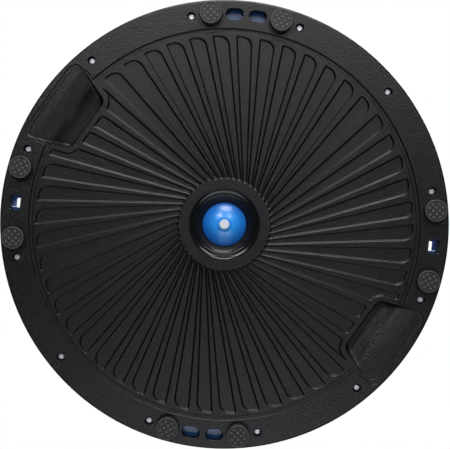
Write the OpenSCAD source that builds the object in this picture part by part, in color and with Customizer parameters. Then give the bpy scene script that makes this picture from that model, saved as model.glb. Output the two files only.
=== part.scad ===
// Balance dome trainer: an air-filled dome clamped to a round, rigid platform.
// Stored dome up, resting on its rubber feet. Z = 0 is the floor under the feet,
// the Z axis is the centre line, and the two pairs of band slots lie on the Y axis.

/* [Platform] */
// Diameter of the platform
platform_d = 580; // [574:2:590]
// Height of the rim's face above the floor
rim_face_z = 10; // [8:0.5:12]
// Thickness of the platform's rim
rim_h = 14; // [13.5:0.5:15]
// Radial width of the raised rim face
rim_w = 37.5; // [36:0.5:38]
// Radius of the circle that the feet, screws and slots are set on
station_r = 271.5; // [270:0.5:273]
// Depth of the field below the rim face
field_drop = 2; // [1.5:0.5:3]
// Width of the groove between the rim and the field
groove_w = 4.5; // [3:0.5:5]
// Depth of the groove below the field
groove_depth = 1; // [0.5:0.5:1.5]
// Thickness of the platform's floor, from the ribbed field to the inside
board_h = 7; // [6:0.5:8]
// Height above the floor of the webs that carry the air dome
deck_z = 36; // [36:0.5:38]
// Number of radial webs on the inner side
web_count = 20; // [16:2:24]
// Thickness of the webs
web_t = 3; // [2.5:0.5:4]

/* [Pockets] */
// Number of shallow pockets in the field
pocket_count = 50; // [40:2:50]
// Depth of a pocket
pocket_depth = 3; // [2:0.5:3.5]
// Width of a pocket, as an angle
pocket_angle = 4.6; // [4:0.1:4.8]
// Radius of the circle that the pockets' long edges are tangent to
swirl_r = 26.5; // [20:0.5:30]
// Radius of the pockets' outer ends
pocket_outer_r = 243.5; // [240:0.5:244]
// Radius of the pockets' inner ends
pocket_inner_r = 60; // [56:1:70]
// Radius of each pocket's large outer corner
pocket_big_corner = 12; // [6:0.5:13]
// Radius of each pocket's other corners
pocket_small_corner = 1.5; // [1:0.25:2]

/* [Hand grips] */
// Direction of the first grip, from the X axis
grip_angle = 30; // [28:1:32]
// Radius of a grip's outer edge
grip_outer_r = 282; // [280:0.5:284]
// Radius of a grip's inner wall
grip_inner_r = 217; // [214:1:220]
// Width of a grip at its inner wall
grip_inner_w = 78; // [70:1:84]
// Angle at which each side of a grip spreads outward
grip_spread = 19; // [14:0.5:20]
// Radius of a grip's corners
grip_corner = 11; // [8:0.5:12]
// Radius at which the thumb ramp ends and the finger well starts
grip_ridge_r = 252; // [250:0.5:254]
// Depth of the thumb ramp at the ridge, below the rim face
grip_ramp_depth = 6; // [4:0.5:6.5]
// Depth of the finger well below the rim face
grip_well_depth = 22; // [18:0.5:22]
// Width of the plain band around a grip
grip_band_w = 6; // [4:0.5:7]

/* [Slots] */
// Length of a band slot
band_slot_l = 22.4; // [20:0.2:23]
// Width of a band slot
band_slot_w = 14; // [12:0.5:14]
// Angle between a band slot's centre and the Y axis
band_slot_angle = 3.2; // [3.1:0.1:3.4]
// Thickness of the bar between two band slots
band_bar_t = 7; // [6:0.5:8]
// Radial width of a clip slot
clip_slot_w = 13.5; // [12:0.5:14]
// Length of a clip slot in the platform
clip_slot_l = 18; // [16:0.5:18]
// Length of a clip slot in the clamp ring
clip_ring_l = 12.5; // [11:0.5:13]

/* [Valve well] */
// Radius of the well's mouth in the field
well_mouth_r = 45; // [44:0.5:47]
// Radius at which the well's smooth bowl ends
well_step_r = 35.6; // [35:0.2:37]
// Radius of the hole that the air dome bulges through
well_hole_r = 29; // [28.5:0.25:29.5]
// Depth of the bowl below the field
well_bowl_depth = 4; // [3:0.5:5]
// Depth of the hole's edge below the field
well_hole_depth = 12; // [10:0.5:13]

/* [Air dome] */
// Overall height of the trainer
overall_h = 215; // [205:1:225]
// Wall thickness of the air dome
dome_wall = 3; // [2.5:0.25:3.5]
// Thickness of the dome's clamped flange
flange_t = 3; // [2.5:0.5:3.5]
// Radius of the bulge in the valve well
bulge_r = 28.3; // [27.5:0.1:28.4]
// Drop of the bulge below the edge of the hole
bulge_drop = 10.5; // [9:0.5:11]
// Number of grip rings on the crown
crown_rings = 8; // [4:1:9]
// Distance between grip rings
crown_pitch = 16; // [12:1:18]
// Radius of a grip ring's round bead
crown_bead_r = 1.6; // [1.2:0.1:2]

/* [Clamp ring] */
// Height of the clamp ring's top above the floor
ring_top_z = 50; // [48:0.5:52]
// Wall thickness of the clamp ring
ring_wall = 3; // [2.5:0.5:3.5]
// Radius of the ring's outer top edge
ring_edge_r = 10; // [8:0.5:11]

/* [Screws] */
// Number of screws
screw_count = 12; // [12]
// Diameter of a screw's thread
screw_d = 4; // [4]
// Diameter of a screw's pan head
screw_head_d = 8; // [7.5:0.1:8.2]
// Depth of a screw's seat below the rim face
screw_seat_depth = 6.8; // [6:0.2:7]
// Length of a screw under its head
screw_l = 26; // [24:1:27]

/* [Feet] */
// Diameter of a rubber foot
foot_d = 28.5; // [27:0.5:29]
// Angle between a foot and the nearest axis
foot_angle = 9.65; // [9.5:0.05:9.8]
// Diameter of a foot's push-in stem
foot_stem_d = 8; // [7:0.5:9]
// Height of the raised dots under a foot
foot_dot_h = 0.7; // [0.5:0.1:1]

/* [Valve] */
// Diameter of the valve plug's head
plug_head_d = 13; // [12:0.5:14]
// Diameter of the hole through the valve seat
valve_bore_d = 7; // [6.5:0.25:7.5]
// Outer diameter of the valve seat
valve_seat_d = 19; // [18:0.5:20]

/* [Hidden] */
FEET = 8;

$fn = 96;
eps = 0.5;
slide_gap = 0.05;
assembly_gap = 0.3;

black = "#2c2c2e";
blue = "#1f7fd6";
rubber = "#353536";
zinc = "#c9cbce";
white = "#f4f4f2";

platform_r = platform_d / 2;
rim_inner_r = platform_r - rim_w;
parting_z = rim_face_z + rim_h;
field_z = rim_face_z + field_drop;
groove_z = field_z + groove_depth;
board_z = field_z + board_h;
flange_top_z = parting_z + flange_t;
drum_r = rim_inner_r - 2;
drum_t = 4;
web_top_z = deck_z - 0.5;
ring_web_radii = [110, 180];
rim_edge_r = 3;
rim_lip_r = 0.8;
edge_steps = 6;

well_tube_r = 41;
well_hole_z = field_z + well_hole_depth;
well_bowl_z = field_z + well_bowl_depth;
well_step = 0.8;
bowl_steps = 4;

pocket_phase = 180 / pocket_count + 1.05;
grip_floor_l = 22;
grip_ridge_round = 9;
grip_floor_round = 5;
grip_wall_round = 4;
socket_depth = 1;
socket_gap = 0.5;

ring_inner_r = 256;
ring_inner_edge = 3;
rib_count = 24;
rib_l = 26;
flange_r = platform_r - 4;

dome_r = ring_inner_r - assembly_gap;
crown_proud = crown_bead_r / 2;
dome_rise = overall_h - ring_top_z - crown_proud / 2;
bead_inner_r = drum_r + assembly_gap;
membrane_z = deck_z + assembly_gap;
bulge_shoulder_r = 36;
bulge_steps = 6;
dome_steps = 48;
dome_heel = 8;

boss_r = 5;
boss_top_z = ring_top_z - 2;
pilot_top_z = ring_top_z - 3;
screw_seat_z = rim_face_z + screw_seat_depth;
screw_seat_r = 5.5;
screw_head_h = 2.8;
screw_hole_gap = 0.6;
flange_hole_gap = 1;

// Unit vector of v
function unit(v) = v / norm(v);

// Points of the arc that rounds corner b, between the neighbours a and c
function corner_arc(a, b, c, r, n) =
    let (u = unit(a - b), v = unit(c - b))
    let (half = acos(u * v) / 2)
    let (centre = b + unit(u + v) * r / sin(half))
    let (p = b + u * r / tan(half) - centre, q = b + v * r / tan(half) - centre)
    let (from = atan2(p.y, p.x), raw = atan2(q.y, q.x) - from)
    let (turn = raw > 180 ? raw - 360 : (raw < -180 ? raw + 360 : raw))
    [for (i = [0:n]) centre + r * [cos(from + turn * i / n), sin(from + turn * i / n)]];

// A closed outline with each corner rounded to its own radius, 0 for a sharp one
function rounded(points, radii, n = 4) =
    let (count = len(points))
    [for (i = [0:count - 1])
        let (a = points[(i + count - 1) % count], c = points[(i + 1) % count])
        each (radii[i] == 0 ? [points[i]]
            : corner_arc(a, points[i], c, radii[i], radii[i] > 5 ? 2 * n : n))];

// A point at radius r on the straight line that runs in direction angle, tangent to the swirl circle
function swirl_point(angle, r) =
    let (along = sqrt(r * r - swirl_r * swirl_r))
    [along * cos(angle) - swirl_r * sin(angle), along * sin(angle) + swirl_r * cos(angle)];

// Points of an ellipse's quarter, from its top to its side
function quarter_ellipse(a, b, z0, n) =
    [for (i = [0:n]) [a * sin(90 * i / n), z0 + b * cos(90 * i / n)]];

// Radius of a sphere whose cap has base radius r and height h
function cap_sphere_r(r, h) = (r * r + h * h) / (2 * h);

// Points of the bulge's underside, from radius r0 out to radius r1, offset inward by t
function bulge_points(r0, r1, t, n) =
    let (ball = cap_sphere_r(bulge_r, bulge_drop), low = well_hole_z - bulge_drop)
    [for (i = [0:n])
        let (r = r0 + (r1 - r0) * i / n)
        [r, low + ball - sqrt((ball - t) * (ball - t) - r * r)]];

// Moves its children to the station circle, at an angle
module at_station(angle) rotate([0, 0, angle]) translate([station_r, 0, 0]) children();

// ---------- platform ----------

module platform_section() {
    bowl = [for (i = [bowl_steps:-1:0])
        let (part = i / bowl_steps, r = well_mouth_r + (well_step_r + well_step - well_mouth_r) * part)
        [r, field_z + well_bowl_depth * sin(90 * part)]];
    rim_edge = [for (i = [0:edge_steps])
        let (a = 90 * i / edge_steps)
        [platform_r - rim_edge_r + rim_edge_r * sin(a), rim_face_z + rim_edge_r - rim_edge_r * cos(a)]];
    polygon(concat(
        [[well_hole_r, deck_z], [well_hole_r, well_hole_z],
         [well_step_r, well_bowl_z + well_step], [well_step_r, well_bowl_z]],
        bowl,
        [[rim_inner_r - groove_w, field_z], [rim_inner_r - groove_w, groove_z],
         [rim_inner_r, groove_z], [rim_inner_r, rim_face_z + rim_lip_r],
         [rim_inner_r + rim_lip_r, rim_face_z]],
        rim_edge,
        [[platform_r, parting_z], [drum_r, parting_z], [drum_r, deck_z],
         [drum_r - drum_t, deck_z], [drum_r - drum_t, board_z],
         [well_tube_r, board_z], [well_tube_r, deck_z]]
    ));
}

// Plan outline of a grip, grown outward by extra
module grip_outline(extra = 0, outer = grip_outer_r) {
    inner_r = grip_inner_r - extra;
    outer_r = outer + extra;
    inner_half = grip_inner_w / 2 + extra / cos(grip_spread) - extra * tan(grip_spread);
    outer_half = inner_half + (outer_r - inner_r) * tan(grip_spread);
    corner = grip_corner + extra;
    polygon(rounded(
        [[inner_r, -inner_half], [outer_r, -outer_half], [outer_r, outer_half], [inner_r, inner_half]],
        [corner, corner, corner, corner]
    ));
}

// Radial section of a grip's hollow: a shallow thumb ramp, a rounded ridge and a finger well
module grip_section() {
    low = rim_face_z - 1;
    ramp_z = rim_face_z + grip_ramp_depth;
    well_z = rim_face_z + grip_well_depth;
    inner = grip_inner_r;
    polygon(rounded(
        [[inner - 1, low], [grip_outer_r + 1, low], [grip_outer_r + 1, rim_face_z + 0.5],
         [grip_ridge_r, ramp_z], [inner + grip_floor_l, well_z], [inner - 1, well_z]],
        [0, 0, 0, grip_ridge_round, grip_floor_round, grip_wall_round]
    ));
}

module grip_hollow() {
    span = platform_r;
    intersection() {
        translate([0, 0, rim_face_z - 1]) linear_extrude(grip_well_depth + 2) grip_outline();
        translate([0, span / 2, 0]) rotate([90, 0, 0]) linear_extrude(span) grip_section();
    }
}

// Plan of everything that stands inside the platform: radial webs, ring webs and the grips' cups
module web_plan() {
    inner = well_tube_r - 1;
    outer = drum_r - 1;
    for (i = [0:web_count - 1])
        rotate((i + 0.5) * 360 / web_count) translate([inner, -web_t / 2]) square([outer - inner, web_t]);
    for (r = ring_web_radii)
        difference() {
            circle(r = r + web_t / 2);
            circle(r = r - web_t / 2);
        }
    for (a = [0, 180])
        rotate(grip_angle + a)
            intersection() {
                grip_outline(web_t);
                circle(r = outer);
            }
}

module webs() {
    translate([0, 0, board_z - eps]) linear_extrude(web_top_z - board_z + eps) web_plan();
}

module pocket() {
    half = pocket_angle / 2;
    first = pocket_phase - half;
    last = pocket_phase + half;
    translate([0, 0, field_z - eps])
        linear_extrude(pocket_depth + eps)
            polygon(rounded(
                [swirl_point(first, pocket_inner_r), swirl_point(first, pocket_outer_r),
                 swirl_point(last, pocket_outer_r), swirl_point(last, pocket_inner_r)],
                [pocket_small_corner, pocket_small_corner, pocket_big_corner, pocket_small_corner], 3
            ));
}

module pockets() {
    difference() {
        for (i = [0:pocket_count - 1]) rotate([0, 0, i * 360 / pocket_count]) pocket();
        for (a = [0, 180])
            rotate([0, 0, grip_angle + a])
                translate([0, 0, field_z - 2 * eps])
                    linear_extrude(pocket_depth + 3 * eps) grip_outline(grip_band_w);
    }
}

// A slot with round ends along the local Y axis, cut up from below
module round_slot(l, w, z0, z1) {
    reach = (l - w) / 2;
    for (s = [-1, 1]) translate([0, s * reach, z0]) cylinder(r = w / 2, h = z1 - z0);
    translate([-w / 2, -reach, z0]) cube([w, 2 * reach, z1 - z0]);
}

module band_slots() {
    bar_z = rim_face_z + band_bar_t;
    channel_half = station_r * sin(band_slot_angle) + (band_slot_l - band_slot_w) / 2;
    for (side = [90, 270]) {
        for (s = [-1, 1])
            at_station(side + s * band_slot_angle)
                round_slot(band_slot_l, band_slot_w, rim_face_z - 1, parting_z + 1);
        at_station(side)
            translate([-band_slot_w / 2, -channel_half, bar_z])
                cube([band_slot_w, 2 * channel_half, rim_h]);
    }
}

module clip_slots(l, z0, z1) {
    for (side = [0, 180])
        at_station(side)
            translate([-clip_slot_w / 2, -l / 2, z0]) cube([clip_slot_w, l, z1 - z0]);
}

module screw_holes() {
    for (i = [0:screw_count - 1])
        at_station((i + 0.5) * 360 / screw_count) {
            translate([0, 0, rim_face_z - 1]) cylinder(r = screw_seat_r, h = screw_seat_depth + 1);
            translate([0, 0, rim_face_z]) cylinder(d = screw_d + screw_hole_gap, h = rim_h + 1);
        }
}

// Angle of foot number i, counted from 1
function foot_direction(i) = 90 * floor((i - 1) / 2) + (i % 2 == 1 ? -foot_angle : foot_angle);

module foot_sockets() {
    for (i = [1:FEET])
        at_station(foot_direction(i)) {
            translate([0, 0, rim_face_z - 1]) cylinder(d = foot_d + socket_gap, h = 1 + socket_depth);
            translate([0, 0, rim_face_z]) cylinder(d = foot_stem_d + 2 * slide_gap, h = rim_h - 2);
        }
}

module base_platform() {
    color(black)
        difference() {
            union() {
                rotate_extrude() platform_section();
                webs();
            }
            pockets();
            for (a = [0, 180]) rotate([0, 0, grip_angle + a]) grip_hollow();
            band_slots();
            clip_slots(clip_slot_l, rim_face_z - 1, parting_z + 1);
            screw_holes();
            foot_sockets();
        }
}

// ---------- clamp ring ----------

// Outer top corner of the ring's section, shrunk inward by t
function ring_corner(t) =
    [for (i = [0:edge_steps])
        let (a = 90 * i / edge_steps)
        [platform_r - ring_edge_r + (ring_edge_r - t) * sin(a),
         ring_top_z - ring_edge_r + (ring_edge_r - t) * cos(a)]];

module ring_section() {
    skirt_inner = platform_r - ring_wall;
    polygon(concat(
        [[ring_inner_r, flange_top_z], [ring_inner_r, ring_top_z - ring_inner_edge],
         [ring_inner_r + ring_inner_edge, ring_top_z]],
        ring_corner(0),
        [[platform_r, parting_z], [skirt_inner, parting_z]],
        [for (i = [edge_steps:-1:0]) ring_corner(ring_wall)[i]],
        [[ring_inner_r + ring_wall, ring_top_z - ring_wall], [ring_inner_r + ring_wall, flange_top_z]]
    ));
}

module ring_ribs() {
    for (i = [0:rib_count - 1])
        rotate([0, 0, (i + 0.5) * 360 / rib_count + 90 / screw_count])
            translate([ring_inner_r + ring_wall - eps, -ring_wall / 2, flange_top_z])
                cube([rib_l, ring_wall, ring_top_z - ring_wall + eps - flange_top_z]);
}

module clamp_ring() {
    sleeve_w = clip_slot_w + 2 * ring_wall;
    sleeve_l = clip_ring_l + 2 * ring_wall;
    color(blue)
        difference() {
            union() {
                rotate_extrude() ring_section();
                ring_ribs();
                for (i = [0:screw_count - 1])
                    at_station((i + 0.5) * 360 / screw_count)
                        translate([0, 0, flange_top_z]) cylinder(r = boss_r, h = boss_top_z - flange_top_z);
                for (side = [0, 180])
                    at_station(side)
                        translate([-sleeve_w / 2, -sleeve_l / 2, flange_top_z])
                            cube([sleeve_w, sleeve_l, boss_top_z - flange_top_z]);
            }
            clip_slots(clip_ring_l, parting_z, ring_top_z + 1);
            for (i = [0:screw_count - 1])
                at_station((i + 0.5) * 360 / screw_count)
                    cylinder(d = screw_d + 2 * slide_gap, h = pilot_top_z);
        }
}

// ---------- air dome ----------

module dome_section() {
    seat_r = valve_seat_d / 2 + slide_gap;
    inner_r = dome_r - dome_wall;
    neck_r = bulge_r - dome_wall;
    outside = quarter_ellipse(dome_r, dome_rise, ring_top_z, dome_steps);
    inside = quarter_ellipse(inner_r, dome_rise - dome_wall, ring_top_z, dome_steps);
    bulge = bulge_points(seat_r, bulge_r, 0, bulge_steps);
    polygon(concat(
        outside,
        [[dome_r, flange_top_z], [flange_r, flange_top_z], [flange_r, parting_z],
         [bead_inner_r, parting_z], [bead_inner_r, membrane_z],
         [bulge_r + 1, membrane_z], [bulge_r, membrane_z - 1]],
        [for (i = [bulge_steps:-1:0]) bulge[i]],
        bulge_points(seat_r, neck_r, dome_wall, bulge_steps),
        [[neck_r, membrane_z + 1], [bulge_shoulder_r, membrane_z + dome_wall],
         [inner_r - dome_heel, membrane_z + dome_wall], [inner_r, membrane_z + dome_wall + dome_heel]],
        [for (i = [dome_steps:-1:0]) inside[i]]
    ));
}

module air_dome() {
    color(blue)
        difference() {
            union() {
                rotate_extrude() dome_section();
                for (i = [1:crown_rings]) {
                    r = i * crown_pitch;
                    z = ring_top_z + dome_rise * sqrt(1 - r * r / (dome_r * dome_r));
                    rotate_extrude() translate([r, z - crown_proud]) circle(r = crown_bead_r);
                }
            }
            clip_slots(clip_ring_l, parting_z - 1, flange_top_z + 1);
            for (i = [0:screw_count - 1])
                at_station((i + 0.5) * 360 / screw_count)
                    translate([0, 0, parting_z - 1])
                        cylinder(d = screw_d + flange_hole_gap, h = flange_t + 2);
        }
}

// ---------- valve ----------

seat_proud = 0.4;
seat_face_z = well_hole_z - bulge_drop - seat_proud;
seat_flange_z = seat_face_z + 5.6;
seat_flange_w = 3;
seat_flange_t = 2;
seat_top_z = seat_face_z + 17;
valve_chamfer = 0.8;
plug_head_h = 2;
plug_stem_l = 19;
plug_tip_l = 2;
plug_tip_taper = 1.5;

module valve_seat() {
    bore = valve_bore_d / 2;
    outer = valve_seat_d / 2;
    lip = outer + seat_flange_w;
    color(blue)
        rotate_extrude()
            polygon([
                [bore, seat_face_z], [outer - valve_chamfer, seat_face_z],
                [outer, seat_face_z + valve_chamfer], [outer, seat_flange_z],
                [lip, seat_flange_z], [lip, seat_flange_z + seat_flange_t],
                [outer, seat_flange_z + seat_flange_t], [outer - seat_flange_t, seat_top_z],
                [bore, seat_top_z]
            ]);
}

module valve_plug() {
    head_r = plug_head_d / 2;
    stem_r = valve_bore_d / 2 - slide_gap;
    head_z = seat_face_z - plug_head_h;
    stem_z = seat_face_z + plug_stem_l;
    color(white)
        rotate_extrude()
            polygon([
                [0, head_z], [head_r - valve_chamfer, head_z], [head_r, head_z + valve_chamfer],
                [head_r, seat_face_z], [stem_r, seat_face_z], [stem_r, stem_z],
                [stem_r - plug_tip_taper, stem_z + plug_tip_l], [0, stem_z + plug_tip_l]
            ]);
}

// ---------- feet and screws ----------

module foot(i) {
    r = foot_d / 2;
    stem_r = foot_stem_d / 2;
    lip_w = 1.2;
    lip_edge = 0.6;
    top = rim_face_z + socket_depth;
    stem_top = rim_face_z + rim_h - 2.2;
    stem_taper = 1;
    dot_spacing = 4.15;
    dot_r = 1.7;
    dot_tip_r = 1.4;
    color(rubber)
        at_station(foot_direction(i)) {
            rotate_extrude()
                polygon([
                    [0, foot_dot_h], [r - lip_w, foot_dot_h], [r - lip_w, 0], [r - lip_edge, 0],
                    [r, lip_edge], [r, top], [stem_r, top], [stem_r, stem_top - stem_taper],
                    [stem_r - stem_taper, stem_top], [0, stem_top]
                ]);
            for (x = [-2:2], y = [-2:2])
                if ((abs(x) + abs(y)) % 2 == 1)
                    translate([x * dot_spacing, y * dot_spacing, 0])
                        cylinder(r1 = dot_tip_r, r2 = dot_r, h = foot_dot_h + 0.1);
        }
}

module screw(i) {
    head_r = screw_head_d / 2;
    shank_r = screw_d / 2;
    head_z = screw_seat_z - screw_head_h;
    flat_r = head_r - 1.4;
    shoulder_r = head_r - 0.4;
    shoulder_z = head_z + 0.7;
    edge_z = head_z + 1.7;
    tip_l = 3;
    cross_l = 5.2;
    cross_w = 1.4;
    cross_depth = 1.7;
    cross_turn = 30;
    color(zinc)
        at_station((i - 0.5) * 360 / screw_count)
            difference() {
                rotate_extrude()
                    polygon([
                        [0, head_z], [flat_r, head_z], [shoulder_r, shoulder_z], [head_r, edge_z],
                        [head_r, screw_seat_z], [shank_r, screw_seat_z],
                        [shank_r, screw_seat_z + screw_l - tip_l], [0, screw_seat_z + screw_l]
                    ]);
                for (a = [0, 90])
                    rotate([0, 0, a + cross_turn * i])
                        translate([-cross_l / 2, -cross_w / 2, head_z - 1])
                            cube([cross_l, cross_w, cross_depth + 1]);
            }
}

// ---------- assembly ----------

base_platform();
clamp_ring();
air_dome();
valve_seat();
valve_plug();
for (i = [1:FEET])
    foot(i);
for (i = [1:screw_count])
    screw(i);
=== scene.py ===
import math

import bmesh
import bpy
import numpy as np
from mathutils import Matrix, Vector


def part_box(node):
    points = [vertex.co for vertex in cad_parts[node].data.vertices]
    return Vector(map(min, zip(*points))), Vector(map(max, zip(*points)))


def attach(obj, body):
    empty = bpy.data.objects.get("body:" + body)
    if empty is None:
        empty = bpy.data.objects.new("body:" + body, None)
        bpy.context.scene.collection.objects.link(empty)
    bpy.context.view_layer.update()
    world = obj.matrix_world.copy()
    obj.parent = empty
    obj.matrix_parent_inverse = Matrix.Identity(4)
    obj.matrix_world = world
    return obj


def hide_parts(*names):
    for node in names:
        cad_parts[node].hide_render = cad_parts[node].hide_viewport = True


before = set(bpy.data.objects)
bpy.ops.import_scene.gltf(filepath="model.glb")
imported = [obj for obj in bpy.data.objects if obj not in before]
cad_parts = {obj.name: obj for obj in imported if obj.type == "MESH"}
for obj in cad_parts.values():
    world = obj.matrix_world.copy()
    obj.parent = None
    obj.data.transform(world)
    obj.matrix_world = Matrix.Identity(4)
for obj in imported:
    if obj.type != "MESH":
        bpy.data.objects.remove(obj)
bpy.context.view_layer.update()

MM = 0.001

# ---------- sizes, read from the frame ----------

platform_lo, platform_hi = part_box("base_platform")
ring_lo, ring_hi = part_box("clamp_ring")
dome_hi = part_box("air_dome")[1]
foot_lo, foot_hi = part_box("foot_1")

PLATFORM_R = platform_hi.x
RIM_Z = platform_lo.z
DECK_Z = platform_hi.z
PARTING_Z = ring_lo.z
RING_TOP_Z = ring_hi.z
DOME_TOP_Z = dome_hi.z
FLANGE_R = dome_hi.x
STATION_R = Vector((foot_lo.x + foot_hi.x, foot_lo.y + foot_hi.y)).length / 2

# ---------- sizes of the platform ----------

OVERLAP = 1 * MM  # how far a cutter or a joined solid runs past the face it meets
STEP = 0.001 * MM  # the height of a level that stands for a flat step
PLATFORM_STEPS = 288
RIM_INNER_R = PLATFORM_R - 37.5 * MM
FIELD_Z = RIM_Z + 2 * MM
GROOVE_Z = FIELD_Z + 1 * MM
GROOVE_W = 4.5 * MM
BOARD_Z = FIELD_Z + 7 * MM
DRUM_R = RIM_INNER_R - 2 * MM
DRUM_T = 4 * MM
WEB_TOP_Z = DECK_Z - 0.5 * MM
WEB_T = 3 * MM
WEB_COUNT = 20
RIM_EDGE_R = 3 * MM
RIM_LIP_R = 1.2 * MM
SMALL_EDGE_R = 0.6 * MM

POCKETS = 50
POCKET_DEPTH = 3 * MM
POCKET_ANGLE = 4.6
POCKET_PHASE = 4.65
SWIRL_R = 26.5 * MM
POCKET_OUTER_R = 243.5 * MM
POCKET_INNER_R = 60 * MM
POCKET_BIG_CORNER = 12 * MM
POCKET_SMALL_CORNER = 1.5 * MM
CLIP_STEP = 2.5 * MM  # spacing of the points of an outline that is clipped
CLIP_GAP = 1.5 * MM  # points nearer than this to the clipped edge are dropped
SHARP_TURN = -0.85  # cosine of the angle between the two sides of a corner that is softened
SOFT_REACH = 1.2 * MM

GRIP_DIRECTIONS = (30, 210)
GRIP_INNER_R = 217 * MM
GRIP_OUTER_R = 282 * MM
GRIP_INNER_W = 78 * MM
GRIP_SPREAD = 19
GRIP_CORNER = 11 * MM
GRIP_BAND = 6 * MM
GRIP_DRAFT = 17
GRIP_STATIONS = (210, 217, 222, 232, 239, 245, 251, 256, 262, 268, 275, 282, 290)  # radius, mm
GRIP_HEIGHTS = (19.6, 19.5, 19.2, 16.5, 12.6, 8.2, 5.6, 4.4, 2.9, 1.9, 1.3, 0.9, 0.6)  # above the rim, mm
GRIP_LOOPS = (0, 0.008, 0.02, 0.035, 0.055, 0.08, 0.11, 0.145, 0.19, 0.25, 0.32, 0.41, 0.52, 0.66, 0.84)
GRIP_POINT_STEP = 3 * MM
GRIP_BLEND = 4 * MM  # how softly the grip's wall runs into its floor

BAND_SLOT_L = 22.4 * MM
BAND_SLOT_W = 14 * MM
BAND_SLOT_ANGLE = 3.2
BAND_BAR_T = 7 * MM
CLIP_SLOT_W = 13.5 * MM
CLIP_SLOT_L = 18 * MM
CLIP_RING_L = 12.5 * MM
CLIP_RING_CORNER = 1.5 * MM
SLOT_CORNER = 1 * MM

WELL_MOUTH_R = 45 * MM
WELL_STEP_R = 35.6 * MM
WELL_HOLE_R = 29 * MM
WELL_TUBE_R = 41 * MM
WELL_HOLE_Z = FIELD_Z + 12 * MM
WELL_BOWL_Z = FIELD_Z + 4 * MM
WELL_EDGE_R = 1.2 * MM
WELL_STEP = (
    (-2.6, 2.4), (-2.0, 2.0), (-1.2, 1.7), (-0.6, 1.2), (-0.25, 0.55), (0.1, 0.12), (0.5, -0.15))  # mm
WELL_BOWL = (
    (38.2, 3.55), (39.6, 3.45), (41.0, 3.2), (42.4, 2.82),
    (43.6, 2.4), (44.6, 1.9), (45.3, 1.2), (45.6, 0.4))  # radius and depth, mm

SCREWS = 12
SCREW_SEAT_R = 5.5 * MM
SCREW_SEAT_DEPTH = 6.8 * MM
SCREW_HOLE_R = 2.3 * MM
BOSS_R = 5 * MM
PILOT_R = 2.05 * MM
FLANGE_HOLE_R = 2.5 * MM
FEET_ANGLE = 9.65
FOOT_R = 14.25 * MM
FOOT_STEM_R = 4.05 * MM
FOOT_GAP = 0.15 * MM
FOOT_SOCKET_DEPTH = 1 * MM

# ---------- sizes of the ring and the dome ----------

RING_INNER_R = 256 * MM
RING_WALL = 3 * MM
RING_EDGE_R = 10 * MM
RING_INNER_EDGE_R = 3 * MM
RING_SLEEVE_DROP = 1.5 * MM  # how far below the ring's top its sleeves and bosses end
DOME_R = RING_INNER_R - 0.3 * MM
DOME_WALL = 3 * MM
DOME_STEPS = 240
DOME_RISE = DOME_TOP_Z - RING_TOP_Z - 0.4 * MM
FLANGE_T = 3 * MM
MEMBRANE_Z = DECK_Z + 0.3 * MM
BULGE_R = 28.3 * MM
BULGE_DROP = 10.5 * MM
BULGE_STEPS = 28
BULGE_EDGE_R = 1.2 * MM
SEAT_R = 9.55 * MM
CROWN_RINGS = 8
CROWN_PITCH = 16 * MM
CROWN_RING_H = 0.7 * MM
CROWN_RING_HALF_W = 2.2 * MM
DOME_CORNER_R = 8 * MM


# ---------- camera ----------

ROW_TURN = math.radians(-6)
CAMERA_DISTANCE = 1.08
RADIUS_IN_FRAME = 0.498667  # the object's radius, as a part of the frame's width
FRAME_SHIFT = (0.001333, -0.000444)  # also as parts of the frame's width
SENSOR = 36


def make_camera():
    """Looks straight up at the underside; the band slots are turned a little from the vertical."""
    data = bpy.data.cameras.new("camera")
    cam = bpy.data.objects.new("camera", data)
    bpy.context.scene.collection.objects.link(cam)
    bpy.context.scene.camera = cam
    right = Vector((math.cos(ROW_TURN), math.sin(ROW_TURN), 0))
    up = Vector((math.sin(ROW_TURN), -math.cos(ROW_TURN), 0))
    back = Vector((0, 0, -1))
    turn = Matrix((right, up, back)).transposed().to_4x4()
    cam.matrix_world = Matrix.Translation((0, 0, RIM_Z - CAMERA_DISTANCE)) @ turn
    data.sensor_width = SENSOR
    data.lens = SENSOR * RADIUS_IN_FRAME * (CAMERA_DISTANCE + RIM_EDGE_R) / PLATFORM_R
    data.shift_x, data.shift_y = FRAME_SHIFT
    data.clip_start = 0.01
    data.clip_end = 20


make_camera()


# ---------- plan outlines ----------

MITRE_LIMIT = 0.4


def unit(angle):
    """The plan direction at an angle in degrees."""
    a = math.radians(angle)
    return Vector((math.cos(a), math.sin(a)))


def turned(points, angle):
    c, s = math.cos(math.radians(angle)), math.sin(math.radians(angle))
    return [Vector((p.x * c - p.y * s, p.x * s + p.y * c)) for p in points]


def moved(points, to):
    return [p + to for p in points]


def arc(centre, radius, start, end, steps):
    """Points along an arc, with its angles in degrees."""
    return [centre + radius * unit(start + (end - start) * i / steps) for i in range(steps + 1)]


def rounded(corners, radii, steps=6):
    """A closed outline with each corner rounded to its own radius."""
    out = []
    count = len(corners)
    for i, (b, r) in enumerate(zip(corners, radii)):
        if r <= 0:
            out.append(b.copy())
            continue
        u = (corners[i - 1] - b).normalized()
        v = (corners[(i + 1) % count] - b).normalized()
        half = math.acos(max(-1, min(1, u.dot(v)))) / 2
        centre = b + (u + v).normalized() * r / math.sin(half)
        p = b + u * r / math.tan(half) - centre
        q = b + v * r / math.tan(half) - centre
        start = math.degrees(math.atan2(p.y, p.x))
        sweep = (math.degrees(math.atan2(q.y, q.x)) - start + 180) % 360 - 180
        out += arc(centre, r, start, start + sweep, steps)
    return out


def area(points):
    """Area of an outline, negative when it runs clockwise."""
    return sum(a.x * b.y - b.x * a.y for a, b in zip(points, points[1:] + points[:1])) / 2


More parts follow.
